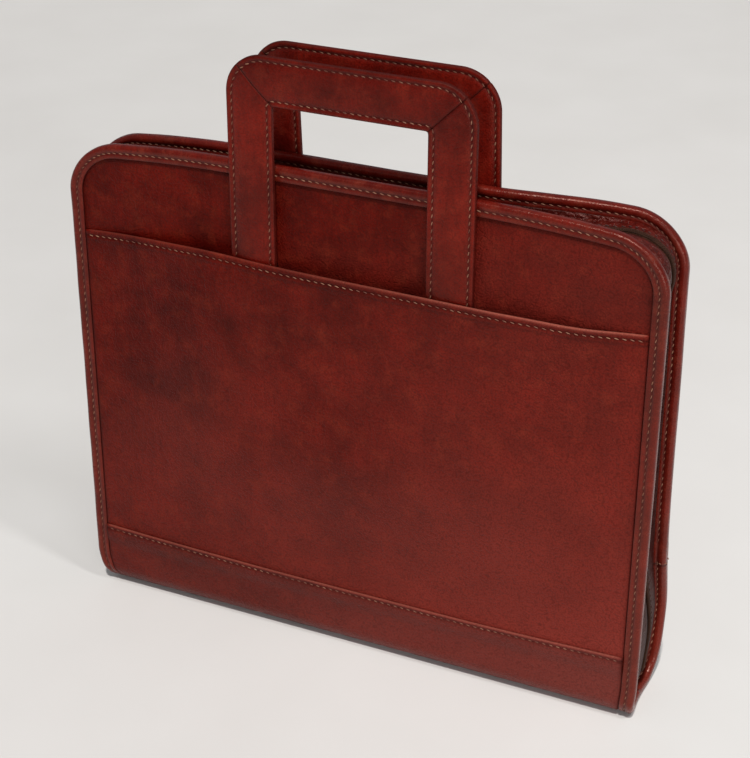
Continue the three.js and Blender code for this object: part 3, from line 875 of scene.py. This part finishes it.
# The binding, a folded strip round the whole edge, with its stitches on both faces.
bindingSection = [
    (8.8, .4), (8.82, .8), (8.6, 1.2), (8.15, 1.42), (7.3, 1.5), (6.5, 1.48), (6.0, 1.3), (5.6, 1.05),
    (5.2, .98), (4.8, 1.1), (4.4, 1.38), (3.7, 1.66), (2.8, 1.8), (1.9, 1.72), (1.1, 1.4), (.5, .85),
    (.12, .1), (-.05, -.7),
]
bindingCore = [(8.8, -3.35), (5.0, -3.3), (2.2, -3.3), (1.3, -2.9), (1.3, -.1), (2.2, .3), (5.0, .3)]
binding = {
    "step": 1.1, "middle": -1.5, "outermost": -0.08, "stitchIn": 5.2, "stitchLift": 1.02,
    "groove": (0.35, 0.6), "lapWay": 99, "lapRun": 12, "lapRise": 0.55, "lapStart": 0.6, "lapFade": 6,
    "wobble": ((0.12, 13.7, 0), (0.08, 5.3, 1)), "wobbleInset": 5, "wobbleRun": 4,
    "seamWay": 1.6, "seamReach": 3.2, "seamLift": 0.1,
    "grooveShade": (0.75, 1.0), "seamShade": (0.9, 0.7), "lipShade": 0.9, "lipFrom": 8.45, "lipRun": 0.35,
}
# the stitches of the end seam, from and to, as numbers of points round the section
seamHoles = np.array([(7, 9), (10.5, 12.6), (14.2, 17.2), (19, 22), (23.6, 25.6), (27.2, 29.2)]).T


# The edges of both covers as one ring: up and over the back, then over the front and down.
def ringAt(way, inset, off):
    way = way % (2 * edgeTotal)
    front = way > edgeTotal
    x, s, inX, inS = edgeAt(np.where(front, 2 * edgeTotal - way, way))
    s = s + inset * inS
    return onCover(x + inset * inX, np.where(front, -s, s), off)


def makeBinding():
    middle = binding["middle"]
    outline = bindingSection + [(binding["outermost"], middle)]
    outline += [(inset, 2 * middle - off) for inset, off in reversed(bindingSection)] + bindingCore
    section = np.array(outline)
    skin = 2 * len(bindingSection) + 1
    bm = cutTube(steps(0, 2 * edgeTotal, binding["step"]), len(section))

    def shape(way, around, extra):
        number, (inset, off) = onSection(section, around)
        fromLap = way - binding["lapWay"]
        lap = smooth(fromLap / binding["lapStart"])
        lap = lap * (1 - smooth((fromLap - binding["lapRun"]) / binding["lapFade"]))
        wobble = sum(rise * np.sin(way / length + turn) for rise, length, turn in binding["wobble"])
        raised = ridge(inset - binding["stitchIn"], *binding["groove"]) * (1 - pucker(way))
        raised = raised + binding["lapRise"] * lap
        raised = raised + wobble * smooth((binding["wobbleInset"] - inset) / binding["wobbleRun"])
        return ringAt(way, inset, off + np.where(off > middle, 1, -1) * raised * (number < skin))

    # painted shade in the stitch grooves, along the inner edge beside the cover and at the lapped end
    def paintedShadeAndHighlight(way, around, extra):
        number, (inset, off) = onSection(section, around)
        groove = ridge(inset - binding["stitchIn"], *binding["grooveShade"])
        edge = binding["lipShade"] * smooth((inset - binding["lipFrom"]) / binding["lipRun"])
        seam = fade(np.abs(way - binding["lapWay"]), *binding["seamShade"])
        return np.clip((groove + edge + seam) * (number < skin), 0, 1)

    stitches = bmesh.new()
    for face, level in ((1, binding["stitchLift"]), (-1, 2 * middle - binding["stitchLift"])):
        def threadShape(way, inset, lift):
            return ringAt(way, inset, level + face * lift)

        sewRow(stitches, threadShape, rowOfStitches(0, 2 * edgeTotal), binding["stitchIn"])

    # the binding's end is sewn across at the back of the right side
    def seamShape(number, inward, lift):
        inset, off = (np.interp(number, np.arange(len(section)), values) for values in section.T)
        outward = np.clip((off - middle) / binding["seamReach"], -1, 1)
        grow = binding["lapRise"] + lift
        way = np.full_like(number, binding["lapWay"] + binding["seamWay"])
        return ringAt(way, inset - grow * (1 - np.abs(outward)), off + grow * outward)

    sewRow(stitches, seamShape, seamHoles, 0.0, 0.0, binding["seamLift"])
    bend(bm, shape, paintedShadeAndHighlight)
    closeUp(bm)
    makePiece(bm, "binding", bindingLeather, ["edge_binding"])
    makePiece(stitches, "bindingStitches", sewingThread)


# The zip's way round the opening, and how deep it lies between the covers.
zipRow = {
    "lowEnd": 18, "depth": 12, "attach": 7.4, "leather": 1.0, "step": 1.15,
    "tape": 3.6, "tapeFrom": 0.15, "tapeThick": 0.8, "tapeStep": 1.6, "tapeCrown": 0.35,
}
foldRows = [
    (0, .4), (.035, .3), (.085, .7), (.14, 1), (.25, .9), (.285, .4), (.305, .25), (.325, .5),
    (.36, .95), (.5, 1), (.61, .95), (.69, .6), (.76, .95), (.92, .9), (1, .4),
]
zipLow = wayTo(zipRow["lowEnd"])
zipHigh = edgeTotal - zipLow


def zipDepth(way):
    return zipRow["depth"] * readRows(foldRows, (way - zipLow) / (zipHigh - zipLow))


def between(way, inset, off):
    x, s, inX, inS = edgeAt(way)
    front = onCover(x + inset * inX, -s - inset * inS, insideFace)
    back = onCover(x + inset * inX, s + inset * inS, insideFace)
    gap = np.linalg.norm(back - front, axis=-1)
    return front + (back - front) * (0.5 + off / gap)[..., None], gap


# A place by the zip: along its way, raised over its line and off to one side.
def byZip(way, rise, off):
    return between(way, zipDepth(way) - rise, off)[0]


# The gusset is crumpled round the upper right corner and along the top, and less elsewhere.
gusset = {
    "rows": 15, "coverGap": 0.1, "crumpleFrom": 255, "crumpleRise": 40, "crumpleRun": 420, "crumpleFall": 60,
    "least": 0.25, "ripple": 0.8, "narrow": 9, "narrowRun": 8,
    "stitchEnd": 3, "stitchShare": 0.86, "stitchLift": 0.3,
    "lowShade": (0.7, 0.08), "highShade": (0.5, 0.05), "shade": 0.9, "lit": 45, "litRun": 70,
}


def crumpleAt(way):
    along = way - wayTo(gusset["crumpleFrom"])
    end = smooth((along - gusset["crumpleRun"]) / gusset["crumpleFall"])
    return smooth(along / gusset["crumpleRise"]) * (1 - end)


def rippleAt(way, share, side):
    fine = noise.noise(Vector((way / 4.2 + 3 * share * side, share * 2.4, side * 7.0)))
    return abs(fine) * 2.2 + noise.noise(Vector((way / 9.5, share * 1.5, side * 3.0))) * 1.3


def makeGusset(side, name, node):
    bm = cutSheet(steps(zipLow, zipHigh, zipRow["step"]), np.linspace(0, 1, gusset["rows"]), 0)

    def shape(way, share, lift):
        gap = between(way, 0, 0)[1]
        start = gap / 2 - case["gap"] - gusset["coverGap"]
        end = zipRow["tape"] + case["gap"]
        turn = share * math.pi / 2
        inset = zipRow["attach"] + (zipDepth(way) - zipRow["attach"]) * np.sin(turn)
        off = start + (end - start) * (1 - np.cos(turn))
        ripple = np.array([rippleAt(oneWay, oneShare, side) for oneWay, oneShare in zip(way, share)])
        ripple = ripple * np.sin(share * math.pi) ** 0.8 * gusset["ripple"]
        ripple = ripple * (gusset["least"] + (1 - gusset["least"]) * crumpleAt(way))
        ripple = ripple * smooth((gap - gusset["narrow"]) / gusset["narrowRun"])
        return between(way, inset - ripple - lift, side * (off - 0.5 * ripple - lift))[0]

    # painted shade over the gusset between the covers, lighter round the upper right corner where it is lit,
    # and deeper at both edges
    def paintedShadeAndHighlight(way, share, lift):
        edges = fade(share, *gusset["lowShade"]) + fade(1 - share, *gusset["highShade"])
        lit = ridge(way - cornerWay - gusset["lit"], 1, gusset["litRun"])
        return np.clip(edges + gusset["shade"] * (1 - lit), 0, 1)

    stitches = bmesh.new()
    holes = rowOfStitches(zipLow + gusset["stitchEnd"], zipHigh - gusset["stitchEnd"])
    sewRow(stitches, shape, holes, gusset["stitchShare"], 0.0, gusset["stitchLift"])
    bend(bm, shape, paintedShadeAndHighlight)
    bmesh.ops.recalc_face_normals(bm, faces=bm.faces[:])
    bmesh.ops.solidify(bm, geom=bm.faces[:], thickness=zipRow["leather"] * mm)
    turnOutwards(bm)
    makePiece(bm, name, gussetLeather, [node])
    makePiece(stitches, name + "Stitches", darkThread)


def makeTape(side, name, node):
    low, high, thick = zipRow["tapeFrom"], zipRow["tape"], zipRow["tapeThick"]
    bm = cutSheet(steps(zipLow, zipHigh, zipRow["tapeStep"]), np.linspace(low, high, 8), thick)
    addMap(bm)

    def shape(way, off, deep):
        crown = zipRow["tapeCrown"] * np.sin((off - low) / (high - low) * math.pi)
        return byZip(way, deep + crown - thick, side * off)

    bend(bm, shape)
    turnOutwards(bm)
    makePiece(bm, name, wovenTape, [node])


# The closed coil of the zip: two rows of teeth that mesh, on a cord.
coil = {
    "pitch": 1.4, "length": 2.7, "thick": 0.85, "height": 1.1, "side": 0.75, "up": 1.15, "endGap": 1,
    "cordStep": 2.4, "cordAround": 8, "cordUp": 0.55, "cordHigh": 0.4, "cordWide": 1.7,
}


def makeCoil():
    teeth = bmesh.new()
    ways = steps(zipLow + coil["endGap"], zipHigh - coil["endGap"], coil["pitch"] / 2)
    sides = np.where(np.arange(len(ways)) % 2, 1.0, -1.0) * coil["side"]
    rise = case["gap"] + coil["up"]
    centres = byZip(ways, rise, sides)
    ups = unit(byZip(ways, rise + 1, sides) - centres)
    acrosses = unit(byZip(ways, rise, sides + 1) - centres)
    alongs = np.cross(acrosses, ups) * coil["thick"] / 2
    scatterBalls(teeth, 5, centres, alongs, ups * coil["height"] / 2, acrosses * coil["length"] / 2)
    makePiece(teeth, "zipTeeth", zipTeeth, ["zip_coil"])
    cord = cutTube(steps(zipLow, zipHigh, coil["cordStep"]), coil["cordAround"])

    def shape(way, number, extra):
        turn = number * 2 * math.pi / coil["cordAround"]
        rise = case["gap"] + coil["cordUp"] + coil["cordHigh"] * np.sin(turn)
        return byZip(way, rise, coil["cordWide"] * np.cos(turn))

    bend(cord, shape)
    closeUp(cord)
    makePiece(cord, "zipCord", zipTeeth)


# The slider with its bridge, and its pull, whose eye goes through the bridge. A block is its
# size, middle and rounding, along the zip, outwards and across.
slider = {
    "height": 128, "sunk": 2, "sharp": math.radians(40),
    "body": [
        ((11, 1.6, 6.02), (0, .8, 0), .5), ((5.5, 1.6, 7), (2.2, .8, 0), .55),
        ((11, .9, 1.3), (0, 1.95, 0), .3), ((1.5, 2.2, 1.6), (2.2, 2.3, 0), .4),
        ((1.5, 2.2, 1.6), (-2.6, 2.3, 0), .4), ((6.3, .9, 1.6), (-.2, 3.35, 0), .35),
    ],
    "pull": [((19, 1.3, 4.6), (-14.3, 2.8, 0), .5), ((15, 1.7, 2.8), (-14.6, 2.8, 0), .45)],
    "eye": (-1.6, 2.4, 0), "eyeWire": 0.6, "eyeSide": 2.1,
}


def makeSlider():
    way = edgeTotal - wayTo(slider["height"])
    bm = bmesh.new()

    def at(along, rise, off=0.0):
        return Vector(byZip(np.array([along]), rise, np.array([off]))[0])

    def linkedEdges(made):
        return list({edge for vert in made["verts"] for edge in vert.link_edges})

    def addBlocks(rows):
        for size, centre, rounding in rows:
            place = Matrix.Translation(centre) @ Matrix.Diagonal((*size, 1))
            made = bmesh.ops.create_cube(bm, size=1, matrix=place)
            bmesh.ops.bevel(
                bm, geom=linkedEdges(made), offset=rounding, segments=3, affect="EDGES", profile=0.5,
                material=-1,
            )

    sunk = 2 * case["gap"] + slider["sunk"]
    upward = (at(way - 6, sunk) - at(way + 6, sunk)).normalized()
    outward = upward.cross(at(way, 0, 1.0) - at(way, 0, -1.0)).normalized()
    turned = Matrix((upward, outward, upward.cross(outward).normalized())).transposed().to_4x4()
    addBlocks(slider["body"])
    place = Matrix.Translation((0, slider["eye"][1], slider["eyeSide"]))
    place = place @ Matrix.Rotation(math.pi / 2, 4, "X")
    ring = bmesh.ops.create_circle(bm, segments=10, radius=slider["eyeWire"], matrix=place)
    bmesh.ops.spin(
        bm, geom=linkedEdges(ring), cent=slider["eye"], axis=(0, 1, 0),
        angle=2 * math.pi, steps=24, use_merge=True,
    )
    addBlocks(slider["pull"])
    place = Matrix.Translation(at(way, sunk) * mm) @ turned @ Matrix.Scale(mm, 4)
    bmesh.ops.transform(bm, matrix=place, verts=bm.verts[:])
    bmesh.ops.recalc_face_normals(bm, faces=bm.faces[:])
    piece = makePiece(bm, "zipSlider", antiqueMetal, ["zip_slider"])
    piece.data.set_sharp_from_angle(angle=slider["sharp"])


makeCover()
makePocket(-1, 1.5, "frontPocket", "front_pocket")
makePocket(1, 4, "backPocket", "back_pocket")
makeStrip()
makeBinding()
makeGusset(-1, "frontGusset", "front_gusset")
makeGusset(1, "backGusset", "back_gusset")
makeTape(-1, "zipTapeFront", "zip_tape_front")
makeTape(1, "zipTapeBack", "zip_tape_back")
makeCoil()
makeSlider()
makeHandle(-1, 1.5, "frontHandle", "front_handle")
makeHandle(1, 4, "backHandle", "back_handle")


# A pale floor, a high key light from the front, a wide fill from the right, a small window
# light over the top right corner and a soft sky.
studio = {
    "sunFrom": (0.3, -1.0, 2.5), "sunSpread": 3.5, "sunStrength": 2.4, "sunColour": (1.0, 0.975, 0.94),
    "fillFrom": (2.4, -2.4, 0.85), "fillSize": 1.3, "fillPower": 38.0,
    "windowFrom": (0.75, -0.22, 1.2), "windowSize": 0.14, "windowPower": 4.2, "aim": (0.1, 0, 0.15),
    "sky": (0.93, 0.96, 1.0, 1), "skyStrength": 0.27,
    "floorSize": 6, "floorDark": (0.635, 0.62, 0.603, 1), "floorLight": (0.7, 0.687, 0.674, 1),
}


def hangLight(light, place, aim):
    lamp = addItem(light.name, light)
    lamp.location = Vector(place)
    lamp.rotation_euler = (lamp.location - Vector(aim)).to_track_quat("Z", "Y").to_euler()


def makeStudio():
    bm = bmesh.new()
    bmesh.ops.create_grid(bm, x_segments=1, y_segments=1, size=studio["floorSize"])
    mesh = bpy.data.meshes.new("floor")
    bm.to_mesh(mesh)
    bm.free()
    floor = addItem("floor", mesh)
    material, tree, shader = newMaterial("paleFloor")
    tone = addNoise(tree, objectPlace(tree), 9.0, 6.0)
    colour = mix(tree, tone, studio["floorDark"], studio["floorLight"])
    feed(tree, shader, {"Base Color": colour, "Roughness": 0.85})
    mesh.materials.append(material)
    sun = bpy.data.lights.new("sunLight", "SUN")
    sun.angle = math.radians(studio["sunSpread"])
    sun.energy = studio["sunStrength"]
    sun.color = studio["sunColour"]
    hangLight(sun, studio["sunFrom"], (0, 0, 0))
    for name in ("fill", "window"):
        soft = bpy.data.lights.new(name + "Light", "AREA")
        soft.size = studio[name + "Size"]
        soft.energy = studio[name + "Power"]
        hangLight(soft, studio[name + "From"], studio["aim"])
    world = bpy.data.worlds.new("sky")
    world.use_nodes = True
    background = world.node_tree.nodes["Background"]
    background.inputs["Color"].default_value = studio["sky"]
    background.inputs["Strength"].default_value = studio["skyStrength"]
    scene.world = world


camera = {
    "azimuth": math.radians(24.87), "elevation": math.radians(29.74), "roll": math.radians(-0.82),
    "lens": 86.9, "distance": 1080.9, "target": (8.24, 0, 184.0),
}


def makeCamera():
    data = bpy.data.cameras.new("camera")
    data.lens = camera["lens"]
    level = Matrix.Rotation(math.pi / 2 - camera["elevation"], 4, "X")
    turned = Matrix.Rotation(camera["azimuth"], 4, "Z") @ level
    place = (Vector(camera["target"]) + turned.col[2].to_3d() * camera["distance"]) * mm
    item = addItem("camera", data)
    item.matrix_world = Matrix.Translation(place) @ turned @ Matrix.Rotation(camera["roll"], 4, "Z")
    scene.camera = item


makeStudio()
makeCamera()
scene.view_settings.view_transform = "Standard"
